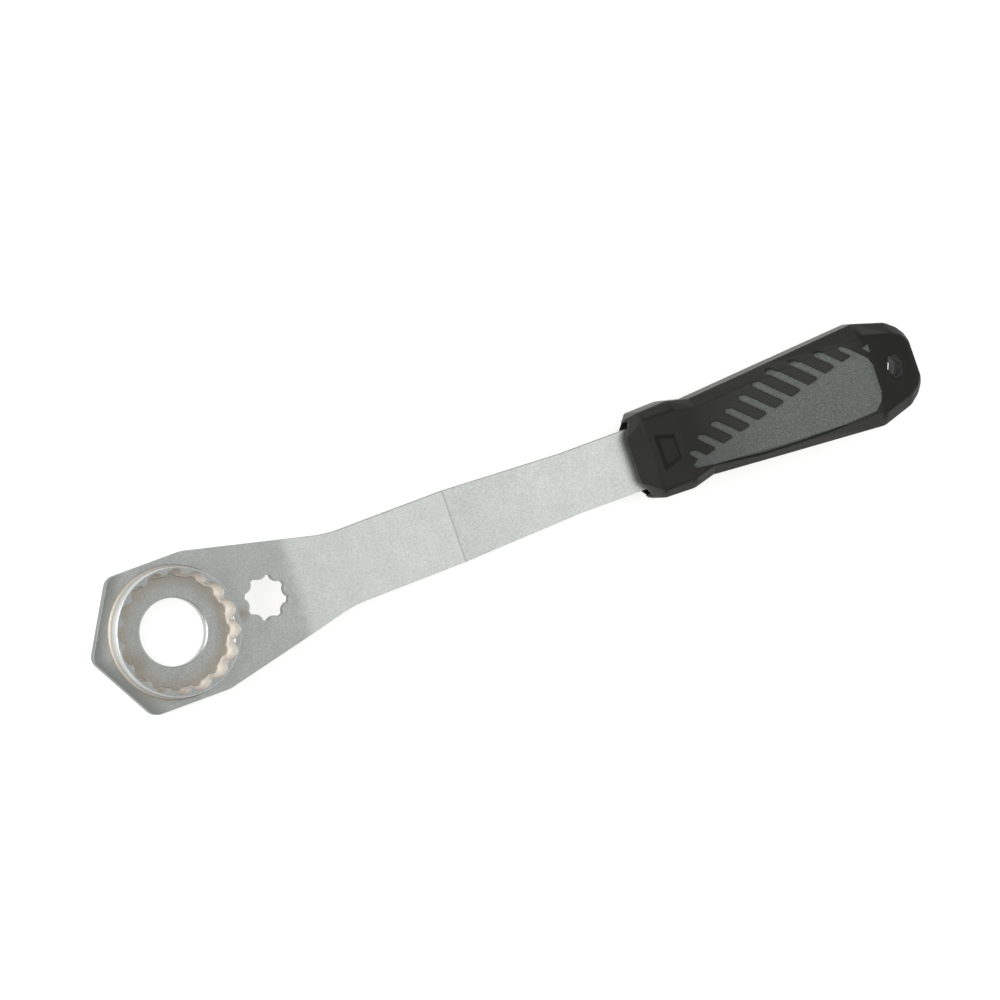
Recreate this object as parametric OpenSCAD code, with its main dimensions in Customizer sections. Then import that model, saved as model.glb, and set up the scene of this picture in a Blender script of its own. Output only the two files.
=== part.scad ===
// Bottom bracket wrench: a bent steel plate with a 16-notch socket ring and an eight-lobe hole,
// moulded into a two-material handle.
// The origin is the centre of the spindle hole on the plate's underside. The socket opens to +Z and
// the handle lies towards +X.

/* [Plate] */
// Thickness of the steel plate
plate_t = 4; // [3:0.25:5]
// Width of the hexagonal head across the flats beside the neck
head_w = 51.8; // [50:0.2:60]
// Distance from the spindle hole to the two flats at the head's point
tip_flat = 27.1; // [26:0.1:31]
// Radius of the head's corners
head_corner_r = 4.5; // [2:0.5:8]
// Diameter of the hole that a crank spindle passes
spindle_hole_d = 24.4; // [20:0.2:30]
// Edge break on the socket side of the spindle hole
hole_break = 0.5; // [0.2:0.1:0.8]
// Width of the blade where the neck ends
neck_w = 27; // [23:0.2:32]
// Distance from the spindle hole to the end of the neck
neck_x = 66; // [58:1:80]
// Radius that blends the neck into the blade
neck_r = 45; // [20:5:80]
// Width of the blade from its second taper to the tang
tang_w = 22.4; // [18:0.2:23]
// Distance from the spindle hole to the end of the second taper
taper_x = 158; // [130:1:170]

/* [Bends] */
// Distance from the spindle hole to the first bend
bend_x = 48; // [46:0.5:56]
// Distance from the spindle hole to the sharp return bend
crease_x = 112; // [100:1:125]
// Angle of both bends
bend_deg = 8; // [4:0.5:12]
// Inner radius of the first bend
bend_r = 30; // [10:5:50]
// Inner radius of the sharp return bend
crease_r = 1.5; // [0.5:0.5:4]

/* [Socket ring] */
// Number of notches that hold the bearing cup
notch_count = 16; // [8:1:18]
// Diameter across the tips of the teeth
tooth_tip_d = 40.9; // [38:0.1:42]
// Diameter across the bottoms of the notches
notch_d = 44.8; // [44:0.1:45.2]
// Outer diameter of the ring
ring_d = 46.2; // [46:0.1:49]
// Height of the ring above the plate
ring_h = 8; // [5:0.5:12]
// Radius of each round notch
notch_r = 3.8; // [3.2:0.1:4.2]
// Fillet between the floor and the teeth
foot_r = 0.8; // [0.5:0.1:2.5]
// Fillet between the floor and the notches
pocket_r = 2.5; // [1:0.1:2.8]
// Height of the brazed bead round the ring
bead_h = 1; // [0.5:0.1:1.5]
// Edge break on the ring's rim
rim_break = 0.4; // [0.2:0.1:0.6]
// Turn of the teeth about the socket axis
tooth_turn = 17.1; // [0:0.1:22.5]

/* [Lobed hole] */
// Distance from the spindle hole to the lobed hole
star_x = 36.4; // [34:0.2:40]
// Number of lobes
lobe_count = 8; // [6:1:10]
// Diameter across the tips of the lobes
lobe_tip_d = 16.2; // [14:0.1:18]
// Diameter across the rounded teeth between the lobes
lobe_root_d = 13.7; // [11:0.1:13.9]
// Radius of the rounded teeth between the lobes
lobe_tooth_r = 3.1; // [2:0.1:3.3]

/* [Handle] */
// Distance from the spindle hole to the handle's mouth
mouth_x = 181.1; // [178:0.5:190]
// Length of the bevelled nose in front of the collar
nose_l = 6.2; // [5:0.2:9]
// Length of the collar behind its nose
collar_l = 11.7; // [9:0.1:14]
// Length of the step from the collar to the waist
step_l = 8.5; // [5:0.5:12]
// Length of the grip from the waist to its widest point
grip_l = 66; // [60:1:80]
// Length of the sloping end block
end_l = 18.1; // [17:0.1:26]
// Width of the collar
collar_w = 32.8; // [31:0.2:36]
// Height of the collar
collar_h = 24.8; // [22:0.2:28]
// Width of the waist behind the collar
waist_w = 28.6; // [27:0.2:31]
// Height of the waist
waist_h = 23; // [21:0.2:26]
// Width of the grip at its widest point
grip_w = 38.2; // [34:0.2:42]
// Height of the grip where it is thickest
grip_h = 25.2; // [23:0.2:28]
// Thickness of the soft skin
skin_t = 2.4; // [1.6:0.1:2.6]
// Depth of the hard panels below the soft skin
panel_drop = 0.5; // [0.2:0.1:1]

/* [Handle details] */
// Width of the open mouth round the blade
mouth_w = 27.4; // [26:0.2:28]
// Height of the open mouth
mouth_h = 13.4; // [11:0.2:14]
// Depth of the mouth
mouth_l = 13; // [8:0.5:16]
// Length of the tang inside the handle's core
tang_l = 66; // [50:1:74]
// Diameter of the moulding holes in the tang
key_hole_d = 8; // [5:0.5:10]
// Gap between the tang and the core
tang_gap = 0; // [0:0.05:0.2]
// Number of soft fingers across each panel
finger_count = 9; // [6:1:9]
// Spacing of the fingers
finger_pitch = 7.5; // [6.5:0.05:7.6]
// Width of each finger along the spacing
finger_w = 4.4; // [3.5:0.1:5]
// Length of the hang hole across the handle
hang_w = 7.8; // [6:0.2:10]
// Length of the hang hole along the handle
hang_l = 6.8; // [6:0.2:9]
// Depth of the recess in the collar
recess_d = 1.5; // [0.8:0.1:2]

/* [Hidden] */
far = 200;
$fn = 96;

head_tip_x = tip_flat/cos(30);
corner_x = (tip_flat - head_w/4)/cos(30);
neck_start_x = head_w/4;
blade_z = -(crease_x - bend_x)*tan(bend_deg);
axis_z = blade_z + plate_t/2;
nose_x = mouth_x + nose_l;
collar_x = nose_x + collar_l;
waist_x = collar_x + step_l;
wide_x = waist_x + grip_l;
end_x = wide_x + end_l;
core_x = mouth_x + mouth_l;
tang_end = core_x + tang_l;
hang_x = end_x - 8.9;

// Each station is [x, half width, half height, bevel across, bevel down].
stations = [
    [mouth_x, mouth_w/2 - 2.3, mouth_h/2 + 0.5, 3.2, 6],
    [mouth_x + nose_l/2, collar_w/2 - 1.7, mouth_h/4 + collar_h/4 + 0.25, 4.1, 8],
    [nose_x, collar_w/2 - 0.4, collar_h/2, 2.7, 4],
    [collar_x, collar_w/2, collar_h/2 - 0.1, 3.2, 4.6],
    [waist_x, waist_w/2, waist_h/2, 3.4, 5],
    [waist_x + grip_l*0.42, waist_w*0.29 + grip_w*0.21, grip_h/2, 3.7, 6],
    [wide_x, grip_w/2, grip_h/2 - 0.4, 4.7, 6.6],
    [end_x - end_l*0.34, grip_w*0.405, grip_h*0.385, 4.2, 5],
    [end_x - end_l*0.14, grip_w*0.33, grip_h*0.345, 3.6, 4.4],
    [end_x - end_l*0.03, grip_w*0.26, grip_h*0.29, 3, 3.6],
    [end_x, grip_w*0.215, grip_h*0.225, 2.4, 2.8]
];

// Points of an arc that rounds the corner b of the path a, b, c
function round_corner(a, b, c, r, n) =
    let (
        u = (a - b)/norm(a - b),
        v = (c - b)/norm(c - b),
        half = acos(u*v)/2,
        m = (u + v)/norm(u + v),
        o = b + m*r/sin(half),
        side = v[0]*u[1] - v[1]*u[0] > 0 ? -1 : 1,
        turn = 180 - 2*half,
        start = atan2(-m[1], -m[0])
    )
    [for (i = [0:n]) let (t = start + side*turn*(0.5 - i/n)) o + r*[cos(t), sin(t)]];

// Closed outline from corners that are each [x, y, radius]
function round_path(p, n = 6) = [
    for (i = [0:len(p) - 1])
        let (
            k = len(p),
            a = [p[(i + k - 1) % k][0], p[(i + k - 1) % k][1]],
            b = [p[i][0], p[i][1]],
            c = [p[(i + 1) % k][0], p[(i + 1) % k][1]]
        )
        each (p[i][2] > 0 ? round_corner(a, b, c, p[i][2], n) : [b])
];

// Plan of the plate from the head's point to the end of the tang
function plate_plan() = let (
        side = [
            [neck_start_x, head_w/2, 12],
            [neck_x, neck_w/2, neck_r],
            [crease_x, neck_w/2 - 0.2, 30],
            [taper_x, tang_w/2, 30],
            [tang_end, tang_w/2, 3]
        ],
        k = len(side)
    )
    concat(
        [[-head_tip_x, 0, head_corner_r]],
        [[-corner_x, -head_w/2, head_corner_r]],
        [for (i = [0:k - 1]) [side[i][0], -side[i][1], side[i][2]]],
        [for (i = [k - 1:-1:0]) side[i]],
        [[-corner_x, head_w/2, head_corner_r]]
    );

// Side view of the plate with its two bends, as one closed strip
function bend_arc(cx, cz, r, from, to, n = 8) =
    [for (i = [0:n]) let (t = from + (to - from)*i/n) [cx + r*cos(t), cz + r*sin(t)]];

module side_strip() {
    b = bend_deg;
    h1 = bend_r*tan(b/2);
    h2 = (crease_r + plate_t)*tan(b/2);
    x2 = crease_x;
    c1 = [bend_x - h1, -bend_r];
    c2 = [x2 + h2, blade_z + plate_t + crease_r];
    top = concat(
        [[-far, plate_t]],
        bend_arc(c1[0], c1[1], bend_r + plate_t, 90, 90 - b),
        bend_arc(c2[0], c2[1], crease_r, 270 - b, 270),
        [[far*2, blade_z + plate_t]]
    );
    low = concat(
        [[far*2, blade_z]],
        bend_arc(c2[0], c2[1], crease_r + plate_t, 270, 270 - b),
        bend_arc(c1[0], c1[1], bend_r, 90 - b, 90),
        [[-far, 0]]
    );
    polygon(concat(top, low));
}

module lobed_outline() {
    tooth_c = lobe_root_d/2 + lobe_tooth_r;
    difference() {
        circle(d = lobe_tip_d);
        for (i = [0:lobe_count - 1])
            rotate(i*360/lobe_count) translate([tooth_c, 0]) circle(r = lobe_tooth_r);
    }
}

module blade() {
    color("silver")
    difference() {
        intersection() {
            translate([0, 0, -far/2]) linear_extrude(far) polygon(round_path(plate_plan()));
            rotate([90, 0, 0]) translate([0, 0, -far/2]) linear_extrude(far) side_strip();
        }
        translate([0, 0, -1]) cylinder(d = spindle_hole_d, h = plate_t + 2);
        translate([0, 0, plate_t - hole_break])
            cylinder(d1 = spindle_hole_d, d2 = spindle_hole_d + 4*hole_break, h = 2*hole_break);
        translate([star_x, 0, -1]) linear_extrude(plate_t + 2) lobed_outline();
        for (i = [1, 3])
            translate([core_x + tang_l*i/4, 0, blade_z - 1]) cylinder(d = key_hole_d, h = plate_t + 2);
    }
}

// Half section of the ring with its foot fillet, broken rim edges and brazed bead
function ring_section() = let (
        ro = ring_d/2,
        ri = tooth_tip_d/2,
        z0 = plate_t,
        z1 = plate_t + ring_h
    )
    concat(
        [for (i = [0:5]) let (t = 270 + 18*i) [ri - foot_r + foot_r*cos(t), z0 + foot_r + foot_r*sin(t)]],
        [[ri, z1 - rim_break], [ri + rim_break, z1], [ro - rim_break, z1], [ro, z1 - rim_break]],
        [for (i = [0:4]) let (t = 180 + 22.5*i) [ro + bead_h + bead_h*cos(t), z0 + bead_h + bead_h*sin(t)]]
    );

// Round-nosed cutter for one notch
module notch_cutter() {
    nose = pocket_r;
    rotate_extrude($fn = 48)
        polygon(concat(
            [[0, -0.2]],
            [for (i = [0:5]) let (t = -90 + 18*i)
                [notch_r - nose + nose*cos(t), nose - 0.2 + nose*sin(t)]],
            [[notch_r, ring_h + 2], [0, ring_h + 2]]
        ));
}

module socket_ring() {
    color("lightgray")
    difference() {
        rotate_extrude() polygon(ring_section());
        for (i = [0:notch_count - 1])
            rotate(tooth_turn + (i + 0.5)*360/notch_count)
                translate([notch_d/2 - notch_r, 0, plate_t]) notch_cutter();
    }
}

// Eight-sided section of the handle at one station, d below the outer surface
function section(s, d) = let (
        w = s[1] - d,
        h = s[2] - d,
        a = max(0.2, s[3] - d*0.4),
        b = max(0.2, s[4] - d*0.4)
    )
    [for (q = [[w, -(h - b)], [w, h - b], [w - a, h], [a - w, h],
               [-w, h - b], [-w, b - h], [a - w, -h], [w - a, -h]])
        [s[0], q[0], q[1]]];

// Skin of flat faces through the sections, with its far end drawn in by `short`
module loft(d, short = 0) {
    n = len(stations);
    rings = [for (i = [0:n - 1]) let (s = stations[i], back = i == n - 1 ? short : 0)
        section([s[0] - back, s[1], s[2], s[3], s[4]], d)];
    pts = [for (r = rings) each r];
    sides = [
        for (i = [0:n - 2], k = [0:7])
            let (a = i*8 + k, b = i*8 + (k + 1) % 8, c = b + 8, e = a + 8)
            each ((k % 2 == 0) ? [[a, e, c, b]] : [[a, c, b], [a, e, c]])
    ];
    translate([0, 0, axis_z])
        polyhedron(pts, concat([[for (k = [0:7]) k]], sides, [[for (k = [7:-1:0]) (n - 1)*8 + k]]));
}

// Outline of one hard panel: its long side is plain and its other side ends in pointed tabs, with a
// soft finger between each two
function panel_outline() = let (
        lean = 14,
        u = [cos(lean), sin(lean)],
        v = [cos(136.5), sin(136.5)],
        e0 = [waist_x - 1.7, -6.4],
        y_top = grip_w*0.385,
        tab_w = finger_pitch - finger_w,
        tabs = [
            for (k = [0:finger_count - 1])
                let (
                    p = e0 + u*(finger_pitch*k - tab_w),
                    q = e0 + u*finger_pitch*k,
                    m = (p + q)/2,
                    l = k == 0 ? 5.4 : min(7.7 + 1.33*k, (y_top - m[1])/v[1])
                )
                each [
                    p + v*0.8, p + v*(l - 1.2), m + v*l, q + v*(l - 1.2), q, q + u*(finger_w - 0.7)
                ]
        ],
        last = tabs[len(tabs) - 1]
    )
    concat(
        [[collar_x + 1.6, -9.6], [collar_x + 0.8, -8.7], [collar_x + 1.2, -7.9]],
        tabs,
        [
            last + v*5.4, last + v*5.4 + [1, 0.8], [wide_x - 7.3, 12.9],
            [wide_x - 4, 10.1], [wide_x - 1.8, 8], [wide_x + 0.2, 6], [wide_x + 1.2, 3.4],
            [wide_x + 1.1, -6.7], [wide_x - 0.2, -10], [wide_x - 3, -12.8],
            [wide_x - 10, -grip_w*0.345], [wide_x - 22, -grip_w*0.359], [wide_x - 36, -grip_w*0.354],
            [waist_x + 18, -13], [waist_x + 5, -11.3]
        ]
    );

module panel_prisms() {
    for (s = [0, 180])
        translate([0, 0, axis_z]) rotate([s, 0, 0]) linear_extrude(far) {
            polygon(panel_outline());
            polygon([[wide_x - 1.3, 10.3], [wide_x + 1.8, 7.2], [wide_x + 1.8, 10.9]]);
        }
}

// The core's body under the soft skin
module core_blank() {
    intersection() {
        loft(skin_t, skin_t);
        translate([core_x, -far/2, -far/2]) cube([far, far, far]);
    }
}

module tang_slot() {
    g = tang_gap;
    translate([0, 0, blade_z - g])
        difference() {
            linear_extrude(plate_t + 2*g)
                polygon(round_path([
                    [core_x - 5, -tang_w/2 - g, 0], [tang_end + g, -tang_w/2 - g, 3 + g],
                    [tang_end + g, tang_w/2 + g, 3 + g], [core_x - 5, tang_w/2 + g, 0]
                ]));
            for (i = [1, 3])
                translate([core_x + tang_l*i/4, 0, -1]) cylinder(d = key_hole_d - 2*g, h = plate_t + 2);
        }
}

// Hang hole that widens from the parting line to both faces
module hang_hole() {
    for (s = [0, 180])
        translate([hang_x, 0, axis_z]) rotate([s, 0, 0])
            linear_extrude(grip_h, scale = 1.35)
                polygon([for (q = [[1, 0], [0.5, 1], [-0.5, 1], [-1, 0], [-0.5, -1], [0.5, -1]])
                    [q[0]*hang_l*0.44, q[1]*hang_w*0.44]]);
}

// Open mouth in the nose, with sloping upper and lower corners
module mouth() {
    w = mouth_w/2;
    h = mouth_h/2;
    translate([mouth_x - 1, 0, axis_z]) rotate([90, 0, 90]) linear_extrude(mouth_l + 1)
        polygon([
            [-w, -h*0.6], [-w*0.6, -h], [w*0.6, -h], [w, -h*0.6],
            [w, h*0.6], [w*0.6, h], [-w*0.6, h], [-w, h*0.6]
        ]);
}

// Four-sided recess with sloping walls in the collar's upper and lower faces
module collar_recesses() {
    l = collar_l*0.68;
    for (s = [0, 180])
        translate([nose_x + 1.6 + l*0.85, 0, axis_z]) rotate([s, 0, 0])
            translate([0, 0, collar_h/2 + 0.4]) mirror([0, 0, 1])
                linear_extrude(recess_d + 0.4, scale = 0.66)
                    polygon([[-l*0.85, -7.4], [l*0.15, -5], [l*0.15, 5], [-l*0.85, 7.4]]);
}

module handle_core() {
    color("dimgray")
    difference() {
        union() {
            core_blank();
            intersection() {
                loft(panel_drop);
                panel_prisms();
            }
        }
        tang_slot();
        hang_hole();
    }
}

module grip_skin() {
    color("black")
    difference() {
        loft(0);
        core_blank();
        panel_prisms();
        mouth();
        hang_hole();
        collar_recesses();
    }
}

blade();
socket_ring();
handle_core();
grip_skin();
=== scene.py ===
import math

import bmesh
import bpy
from mathutils import Matrix, Vector


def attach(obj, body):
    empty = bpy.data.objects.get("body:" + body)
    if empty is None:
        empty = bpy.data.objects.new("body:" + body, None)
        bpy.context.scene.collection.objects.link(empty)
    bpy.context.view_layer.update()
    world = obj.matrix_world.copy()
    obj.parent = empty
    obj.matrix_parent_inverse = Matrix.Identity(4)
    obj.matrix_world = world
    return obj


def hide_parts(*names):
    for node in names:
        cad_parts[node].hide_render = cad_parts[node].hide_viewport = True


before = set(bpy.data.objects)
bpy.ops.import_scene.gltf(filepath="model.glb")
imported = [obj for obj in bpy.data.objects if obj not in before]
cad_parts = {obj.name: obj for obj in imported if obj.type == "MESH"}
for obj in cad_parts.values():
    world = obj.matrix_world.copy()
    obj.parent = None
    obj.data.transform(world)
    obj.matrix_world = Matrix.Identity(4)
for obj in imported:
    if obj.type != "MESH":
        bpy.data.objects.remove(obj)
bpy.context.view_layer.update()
print("frame loaded:", ", ".join(sorted(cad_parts)))


# camera, as the photograph looks down on the tool from its socket end

photoView = {
    "toCamera": (-0.25563, 0.08097, 0.96338),
    "across": (0.90718, -0.32435, 0.26798),
    "aim": (0.131144, 0.003169, -0.005),
    "distance": 12,
    "lens": 1217.5,
    "sensor": 36,
    "nearest": 0.05,
    "farthest": 40,
}


def setCamera(v):
    back = Vector(v["toCamera"]).normalized()
    right = Vector(v["across"])
    right = (right - back * right.dot(back)).normalized()
    up = back.cross(right)
    bpy.ops.object.camera_add(location=Vector(v["aim"]) + back * v["distance"])
    cam = bpy.context.object
    cam.rotation_euler = Matrix((right, up, back)).transposed().to_euler()
    cam.data.lens = v["lens"]
    cam.data.sensor_width = v["sensor"]
    cam.data.clip_start = v["nearest"]
    cam.data.clip_end = v["farthest"]
    bpy.context.scene.camera = cam


setCamera(photoView)
print("camera set")


# small helpers for colours and nodes

white = (1, 1, 1, 1)
edgeSamples = 6


def fromHex(code):
    parts = [int(code[i:i + 2], 16) / 255 for i in (0, 2, 4)]
    return tuple(c / 12.92 if c <= 0.04045 else ((c + 0.055) / 1.055) ** 2.4 for c in parts) + (1,)


def addNode(tree, kind, inputs=None, links=None, **settings):
    n = tree.nodes.new(kind)
    for k, v in settings.items():
        setattr(n, k, v)
    for k, v in (inputs or {}).items():
        n.inputs[k].default_value = v
    for k, v in (links or {}).items():
        tree.links.new(v, n.inputs[k])
    return n


def newMaterial(name):
    m = bpy.data.materials.new(name)
    m.use_nodes = True
    m.node_tree.nodes.clear()
    return m, m.node_tree


def noiseOf(t, place, size, detail, rough=0.5):
    return addNode(t, "ShaderNodeTexNoise", links={"Vector": place},
                   inputs={"Scale": 1 / size, "Detail": detail, "Roughness": rough}).outputs[0]


def rampOf(t, source, stops):
    n = addNode(t, "ShaderNodeValToRGB", links={0: source})
    ramp = n.color_ramp
    while len(ramp.elements) > 1:
        ramp.elements.remove(ramp.elements[-1])
    for i, (at, colour) in enumerate(stops):
        e = ramp.elements[0] if i == 0 else ramp.elements.new(at)
        e.position = at
        e.color = colour
    return n.outputs[0]


def spread(t, source, low, high):
    return addNode(t, "ShaderNodeMapRange", inputs={3: low, 4: high}, links={0: source}).outputs[0]


def fade(t, source, span):
    # a span is where the fade starts and ends, and its value at each
    start, end, low, high = span
    return addNode(t, "ShaderNodeMapRange", interpolation_type="SMOOTHSTEP",
                   inputs={1: start, 2: end, 3: low, 4: high}, links={0: source}).outputs[0]


def combine(t, operation, a, b):
    return addNode(t, "ShaderNodeMath", operation=operation, links={0: a, 1: b}).outputs[0]


def product(t, a, b):
    return combine(t, "MULTIPLY", a, b)


def band(t, source, spans):
    return product(t, fade(t, source, spans[0]), fade(t, source, spans[1]))


def tint(t, colour, mask, code):
    return addNode(t, "ShaderNodeMix", data_type="RGBA", links={0: mask, 6: colour},
                   inputs={7: fromHex(code)}).outputs[2]


def axesOf(t, place):
    return addNode(t, "ShaderNodeSeparateXYZ", links={0: place}).outputs


def distanceTo(t, place, centre):
    moved = addNode(t, "ShaderNodeVectorMath", operation="SUBTRACT", inputs={1: centre},
                    links={0: place}).outputs[0]
    return addNode(t, "ShaderNodeVectorMath", operation="LENGTH", links={0: moved}).outputs["Value"]


def socketRadius(t, place):
    # distance from the socket's axis, whatever the height
    flat = addNode(t, "ShaderNodeVectorMath", operation="MULTIPLY", inputs={1: (1, 1, 0)},
                   links={0: place}).outputs[0]
    return distanceTo(t, flat, (0, 0, 0))


def levelness(t):
    # 1 on faces that lie flat, 0 on upright walls
    facing = addNode(t, "ShaderNodeTexCoord").outputs["Normal"]
    return addNode(t, "ShaderNodeMath", operation="ABSOLUTE", links={0: axesOf(t, facing)[2]}).outputs[0]


def finishShader(t, colour, rough, height, s, extra, metal=None):
    # s gives the edge radius and the strength and depth of the bump
    soft = addNode(t, "ShaderNodeBevel", samples=edgeSamples, inputs={"Radius": s["edge"]}).outputs[0]
    bump = addNode(t, "ShaderNodeBump", inputs={"Strength": s["bump"], "Distance": s["bumpDepth"]},
                   links={"Height": height, "Normal": soft}).outputs[0]
    links = {"Base Color": colour, "Roughness": rough, "Normal": bump}
    if metal is not None:
        links["Metallic"] = metal
    shader = addNode(t, "ShaderNodeBsdfPrincipled", inputs=extra, links=links)
    addNode(t, "ShaderNodeOutputMaterial", links={0: shader.outputs[0]})


# satin zinc plate on cold rolled steel: cloudy grey, fine grain, soft reflections

zinc = {
    "light": "d0d3d0",
    "dark": "c6cac7",
    "tan": "bfb09a",
    "cream": "d8cec2",
    "wallHighlight": "e9ecec",
    "brown": "a08a6c",
    "rollShade": "8f9490",
    "shearAndShade": "757977",
    "line": "9ea29f",
    "cloud": 0.009,
    "cloudDetail": 4,
    "cloudRough": 0.6,
    "cloudStops": (0.3, 0.7),
    "grain": 0.0006,
    "grainDetail": 3,
    "grainRough": 0.8,
    "grainStops": (0.35, 0.6),
    "grainDark": (0.76, 0.76, 0.76, 1),
    "rough": (0.34, 0.42),
    "dullRough": (0, 1, 0.2, 0),
    "edge": 0.0003,
    "bump": 0.12,
    "bumpDepth": 0.00004,
}


def zincPlate(name, z, warm, w):
    m, t = newMaterial(name)
    place = addNode(t, "ShaderNodeTexCoord").outputs["Object"]
    clouds = noiseOf(t, place, z["cloud"], z["cloudDetail"], z["cloudRough"])
    grain = noiseOf(t, place, z["grain"], z["grainDetail"], z["grainRough"])
    low, high = z["cloudStops"]
    tone = rampOf(t, clouds, [(low, fromHex(z["dark"])), (high, fromHex(z["light"]))])
    low, high = z["grainStops"]
    speck = rampOf(t, grain, [(low, z["grainDark"]), (high, white)])
    colour = addNode(t, "ShaderNodeMix", data_type="RGBA", blend_type="MULTIPLY",
                     inputs={0: 1.0}, links={6: tone, 7: speck}).outputs[2]
    colour, metal = warm(t, place, colour, z, w)
    rough = combine(t, "ADD", spread(t, clouds, *z["rough"]), fade(t, metal, z["dullRough"]))
    finishShader(t, colour, rough, grain, z, {}, metal)
    return m


# the plate: heat from brazing leaves a tan ring in the zinc and two brown smears; beside the ring's foot
# a tan painted reflection of the lit ring wall, along the two flats of the point painted shade where the
# punch rolls the face down, and in the crease of the return bend a fine painted shadow line

plateTint = {
    "topFace": (0.0037, 0.0039, 0, 1),
    "ringFloor": ((0.0150, 0.0194, 0, 0.5), (0.0212, 0.0218, 1, 0)),
    "wallReflectionRing": ((0.0232, 0.0240, 0, 0.5), (0.0246, 0.0262, 1, 0)),
    "wallReflectionSide": (-0.0040, -0.0160, 0, 1),
    "smears": (
        ((0.0262, -0.0026, 0.004), (0.0005, 0.0035, 0.45, 0)),
        ((-0.0168, -0.0062, 0.004), (0.0005, 0.0065, 0.35, 0)),
    ),
    "pointFlats": ((-0.866, 0.5, 0), (-0.866, -0.5, 0)),
    "rollShade": (0.0205, 0.0272, 0, 0.8),
    "creaseShadeSpan": ((0.1115, 0.1119, 0, 0.8), (0.1121, 0.1125, 1, 0)),
    "metal": (0.0192, 0.0202, 1, 0.9),
    "upright": (0.2, 0.5, 0.85, 0),
    "bored": (0.0126, 0.0134, 0.2, 1),
}


def plateWarmth(t, place, colour, z, w):
    axes = axesOf(t, place)
    far = socketRadius(t, place)
    # painted reflection: tan on the plate beside the ring's foot, on the -X side only, where the lit
    # ring wall is mirrored
    foot = product(t, band(t, far, w["wallReflectionRing"]), fade(t, axes[0], w["wallReflectionSide"]))
    colour = tint(t, colour, band(t, far, w["ringFloor"]), z["tan"])
    colour = tint(t, colour, foot, z["tan"])
    for centre, span in w["smears"]:
        colour = tint(t, colour, fade(t, distanceTo(t, place, centre), span), z["brown"])
    flats = [addNode(t, "ShaderNodeVectorMath", operation="DOT_PRODUCT", inputs={1: way},
                     links={0: place}).outputs["Value"] for way in w["pointFlats"]]
    # painted shade: the top face darkened along the two flats of the point, where the punch rolls the
    # edge down
    rollShadeMask = fade(t, combine(t, "MAXIMUM", *flats), w["rollShade"])
    colour = tint(t, colour, product(t, rollShadeMask, fade(t, axes[2], w["topFace"])), z["rollShade"])
    # painted shadow: a fine dark line in the crease of the return bend
    colour = tint(t, colour, band(t, axes[0], w["creaseShadeSpan"]), z["line"])
    # punched edges are duller than the rolled faces; their darker grey is partly the sheared steel and
    # partly painted shade for the dark surroundings they reflect, and the bored spindle hole gets less
    # of it
    upright = product(t, fade(t, levelness(t), w["upright"]), fade(t, far, w["bored"]))
    return tint(t, colour, upright, z["shearAndShade"]), fade(t, far, w["metal"])


# the ring: its turned wall is painted paler towards the top, a painted highlight of the lit wall; the
# brazed wall is tanned at the foot, and the ground top is bright

ringTint = {
    "outside": (0.0226, 0.0229, 0, 1),
    "belowTop": (0.0116, 0.0119, 1, 0),
    "wallHighlightRise": (0.0050, 0.0100, 0.1, 0.8),
    "footFall": (0.0042, 0.0085, 0.45, 0),
    "inside": (0.0228, 0.0222, 0, 0.8),
    "insideFall": (0.0119, 0.0095, 0, 1),
    "topMetal": (0.0116, 0.0119, 0.15, 1),
    "wallMetal": (0.0226, 0.0229, 0, 0.4),
}


def ringWarmth(t, place, colour, z, w):
    far = socketRadius(t, place)
    height = axesOf(t, place)[2]
    outside = fade(t, far, w["outside"])
    wall = product(t, outside, fade(t, height, w["belowTop"]))
    # painted highlight: the outer wall paler towards its top
    wallHighlightMask = product(t, wall, fade(t, height, w["wallHighlightRise"]))
    foot = product(t, outside, fade(t, height, w["footFall"]))
    inner = product(t, fade(t, far, w["inside"]), fade(t, height, w["insideFall"]))
    for mask, code in ((wallHighlightMask, "wallHighlight"), (foot, "tan"), (inner, "cream")):
        colour = tint(t, colour, mask, z[code])
    metal = combine(t, "MAXIMUM", fade(t, height, w["topMetal"]), fade(t, far, w["wallMetal"]))
    return colour, metal


# soft skin: black thermoplastic rubber from an eroded mould, satin and nearly without shine

skinFinish = {
    "dark": "161613",
    "light": "1f1f1c",
    "dustAndLitGrey": "2f2f2b",
    "fine": 0.0002,
    "fineDetail": 2,
    "wide": 1 / 70,
    "wideDetail": 3,
    "wideStops": (0.3, 0.75),
    "dustAndLitFace": (0.978, 0.994, 0, 1),
    "dustAndLitFront": (0.198, 0.232, 0.15, 0.9),
    "dustAndLitBack": (0.262, 0.274, 1, 0.2),
    "rough": (0.5, 0.68),
    "edge": 0.0011,
    "bump": 0.25,
    "bumpDepth": 0.00005,
    "shader": {"Specular IOR Level": 0.25, "Sheen Weight": 0.22, "Sheen Roughness": 0.35},
}


def softSkin(name, g):
    m, t = newMaterial(name)
    place = addNode(t, "ShaderNodeTexCoord").outputs["Object"]
    fine = noiseOf(t, place, g["fine"], g["fineDetail"])
    wide = noiseOf(t, place, g["wide"], g["wideDetail"])
    low, high = g["wideStops"]
    colour = rampOf(t, wide, [(low, fromHex(g["dark"])), (high, fromHex(g["light"]))])
    # the two broad faces are painted greyer along the grip: partly dust, partly painted light on the
    # flat faces
    length = band(t, axesOf(t, place)[0], (g["dustAndLitFront"], g["dustAndLitBack"]))
    dustAndLitMask = product(t, fade(t, levelness(t), g["dustAndLitFace"]), length)
    colour = tint(t, colour, dustAndLitMask, g["dustAndLitGrey"])
    finishShader(t, colour, spread(t, wide, *g["rough"]), fine, g, g["shader"])
    return m


# hard panel: grey glass-filled nylon with a spark-eroded grit that glitters faintly

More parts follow.
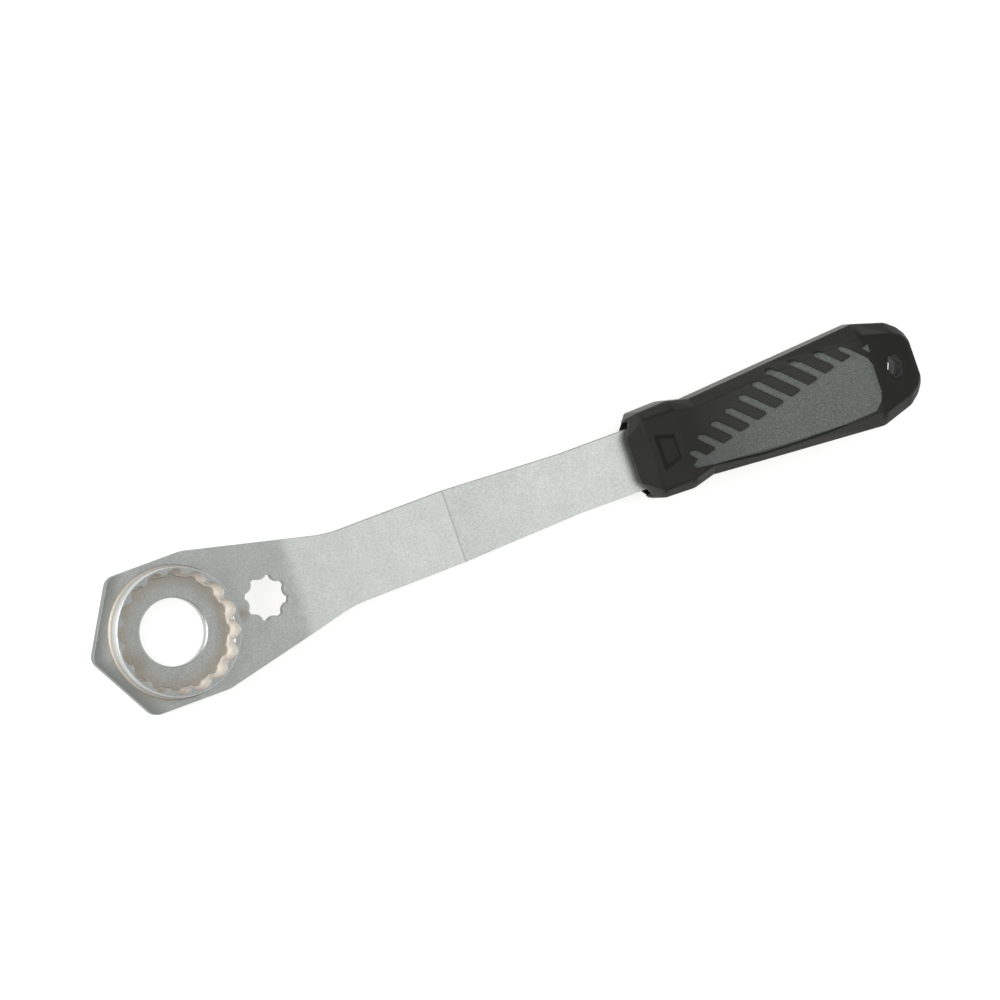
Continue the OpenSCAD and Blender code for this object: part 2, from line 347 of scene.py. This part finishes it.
panelFinish = {
    "dark": "494e4b",
    "light": "6f7571",
    "frontShade": "2e312f",
    "grit": 0.00024,
    "fine": 0.0002,
    "fineDetail": 3,
    "gritStops": (0.1, 0.55),
    "frontShadeSpan": (0.198, 0.243, 0.5, 0),
    "rough": (0.5, 0.62),
    "edge": 0.0003,
    "bump": 0.6,
    "bumpDepth": 0.00008,
    "shader": {"Specular IOR Level": 0.5},
}


def hardPanel(name, g):
    m, t = newMaterial(name)
    place = addNode(t, "ShaderNodeTexCoord").outputs["Object"]
    grit = addNode(t, "ShaderNodeTexVoronoi", inputs={"Scale": 1 / g["grit"]},
                   links={"Vector": place}).outputs["Color"]
    bits = addNode(t, "ShaderNodeSeparateColor", links={0: grit}).outputs[0]
    fine = noiseOf(t, place, g["fine"], g["fineDetail"])
    both = product(t, bits, fine)
    low, high = g["gritStops"]
    colour = rampOf(t, both, [(low, fromHex(g["dark"])), (high, fromHex(g["light"]))])
    # painted shade: the panel darkened towards its front end
    colour = tint(t, colour, fade(t, axesOf(t, place)[0], g["frontShadeSpan"]), g["frontShade"])
    finishShader(t, colour, spread(t, fine, *g["rough"]), both, g, g["shader"])
    return m


def dress(piece, material):
    piece.data.materials.clear()
    piece.data.materials.append(material)


rubber = softSkin("rubberSkin", skinFinish)
dress(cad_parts["blade"], zincPlate("zincPlatedSteel", zinc, plateWarmth, plateTint))
dress(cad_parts["socket_ring"], zincPlate("brazedZincRing", zinc, ringWarmth, ringTint))
dress(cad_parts["handle_core"], hardPanel("erodedNylon", panelFinish))
dress(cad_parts["grip_skin"], rubber)
print("materials on the CAD nodes")


# the skin as moulded: a copy of the CAD skin whose collar and end block have rounded outer edges
# (the two turns between faces are in degrees, and places are along the handle)

skinEdges = {
    "merge": 0.000001,
    "flat": math.radians(0.2),
    "round": 0.0008,
    "steps": 3,
    "leastTurn": 6,
    "hollowTurn": 50,
    "leastOutward": 0.0005,
    "leastRise": 0.1,
    "waist": 0.003,
    "broad": 0.95,
    "collar": (0.1860, 0.2060),
    "collarStep": 0.1995,
    "recess": (0.188, 0.198),
    "recessSide": 0.0078,
    "endBlock": (0.2730, 0.2908),
}


def facesOut(face, s, axis):
    middle, way = face.calc_center_median(), face.normal
    outward = way.y * middle.y + way.z * (middle.z - axis)
    level = abs(way.z) > s["leastRise"] or abs(middle.z - axis) < s["waist"]
    return outward > s["leastOutward"] and level


def isRounded(edge, s, axis):
    # true for an edge between outer faces that keeps clear of the recess and the panels
    middle = (edge.verts[0].co + edge.verts[1].co) / 2
    turn = math.degrees(edge.calc_face_angle(0))
    if turn < s["leastTurn"] or (turn > s["hollowTurn"] and not edge.is_convex):
        return False
    broad = max(abs(f.normal.z) for f in edge.link_faces) > s["broad"]
    inRecess = s["recess"][0] < middle.x < s["recess"][1] and abs(middle.y) < s["recessSide"]
    onCollar = s["collar"][0] < middle.x < s["collar"][1] and not inRecess
    onCollar = onCollar and not (broad and middle.x > s["collarStep"])
    onEnd = s["endBlock"][0] < middle.x < s["endBlock"][1]
    return (onCollar or onEnd) and all(facesOut(f, s, axis) for v in edge.verts for f in v.link_faces)


def mouldSkin(node, s, material):
    skin = bpy.data.objects.new("mouldedSkin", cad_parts[node].data.copy())
    bpy.context.collection.objects.link(skin)
    bpy.ops.object.select_all(action="DESELECT")
    bpy.context.view_layer.objects.active = skin
    skin.select_set(True)
    bpy.ops.object.mode_set(mode="EDIT")
    bpy.ops.mesh.select_mode(type="EDGE")
    bpy.ops.mesh.select_all(action="SELECT")
    bpy.ops.mesh.remove_doubles(threshold=s["merge"])
    bpy.ops.mesh.dissolve_limited(angle_limit=s["flat"])
    bpy.ops.mesh.faces_shade_flat()
    bpy.ops.mesh.select_all(action="DESELECT")
    shape = bmesh.from_edit_mesh(skin.data)
    heights = [v.co.z for v in shape.verts]
    axis = (min(heights) + max(heights)) / 2
    for edge in [e for e in shape.edges if isRounded(e, s, axis)]:
        edge.select_set(True)
    bmesh.update_edit_mesh(skin.data)
    bpy.ops.mesh.bevel(offset=s["round"], segments=s["steps"], clamp_overlap=False)
    bpy.ops.mesh.select_mode(type="FACE")
    bpy.ops.mesh.faces_shade_smooth()
    bpy.ops.object.mode_set(mode="OBJECT")
    dress(skin, material)
    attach(skin, "root")
    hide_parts(node)
    print("skin moulded:", len(skin.data.polygons), "faces")


mouldSkin("grip_skin", skinEdges, rubber)


# floor under the tool as it lies on its back, on the head's tip and the collar's lower front edge

floorPlace = {
    "head": (-0.0306, 0, 0),
    "collar": (0.1873, 0, -0.0194),
    "below": (0, 0, 0.0003),
    "side": 8,
    "paper": "b8b8b6",
    "lift": 0.72,
}


def layFloor(f):
    a, b = Vector(f["head"]), Vector(f["collar"])
    slope = math.atan2(b.z - a.z, b.x - a.x)
    middle = (a + b) / 2 - Vector(f["below"])
    bpy.ops.object.select_all(action="DESELECT")
    bpy.ops.mesh.primitive_plane_add(size=f["side"], location=middle, rotation=(0, -slope, 0))
    floor = bpy.context.object
    floor.name = "floor"
    m, t = newMaterial("palePaper")
    diffuse = addNode(t, "ShaderNodeBsdfDiffuse", inputs={0: fromHex(f["paper"])})
    lift = addNode(t, "ShaderNodeEmission", inputs={0: white, 1: f["lift"]})
    seen = addNode(t, "ShaderNodeAddShader", links={0: diffuse.outputs[0], 1: lift.outputs[0]})
    rays = addNode(t, "ShaderNodeLightPath").outputs
    direct = combine(t, "MAXIMUM", rays["Is Camera Ray"], rays["Is Glossy Ray"])
    both = addNode(t, "ShaderNodeMixShader",
                   links={0: direct, 1: diffuse.outputs[0], 2: seen.outputs[0]})
    addNode(t, "ShaderNodeOutputMaterial", links={0: both.outputs[0]})
    floor.data.materials.append(m)


layFloor(floorPlace)


# light: a pale room, a softbox over the blade and a stronger one at the head's end

room = {"low": 0.46, "high": 0.54, "seen": 1.0}

keyBox = {
    "name": "keyBox",
    "at": (0.30, -0.05, 0.25),
    "to": (0.30, -0.05, 0),
    "size": (0.30, 0.5),
    "power": 0.38,
}

leftBox = {
    "name": "leftBox",
    "at": (-0.55, 0.26, 0.42),
    "to": (0.05, 0, 0),
    "size": (0.5, 0.6),
    "power": 4.4,
}


def lightRoom(r):
    world = bpy.data.worlds.new("paleRoom")
    bpy.context.scene.world = world
    world.use_nodes = True
    t = world.node_tree
    t.nodes.clear()
    rays = addNode(t, "ShaderNodeLightPath").outputs
    clear = combine(t, "MAXIMUM", rays["Is Camera Ray"], rays["Is Transmission Ray"])
    rise = axesOf(t, addNode(t, "ShaderNodeTexCoord").outputs["Generated"])[2]
    glow = spread(t, rise, r["low"], r["high"])
    amount = addNode(t, "ShaderNodeMix", data_type="FLOAT", inputs={3: r["seen"]},
                     links={0: clear, 2: glow}).outputs[0]
    back = addNode(t, "ShaderNodeBackground", inputs={0: white}, links={1: amount})
    addNode(t, "ShaderNodeOutputWorld", links={0: back.outputs[0]})


def hangBox(b):
    bpy.ops.object.light_add(type="AREA", location=b["at"])
    lamp = bpy.context.object
    lamp.name = b["name"]
    lamp.data.shape = "RECTANGLE"
    lamp.data.size, lamp.data.size_y = b["size"]
    lamp.data.energy = b["power"]
    lamp.visible_camera = False
    aim = Vector(b["to"]) - Vector(b["at"])
    lamp.rotation_euler = aim.to_track_quat("-Z", "Y").to_euler()


lightRoom(room)
for box in (keyBox, leftBox):
    hangBox(box)
bpy.context.scene.view_settings.view_transform = "Standard"
print("floor and lights set")
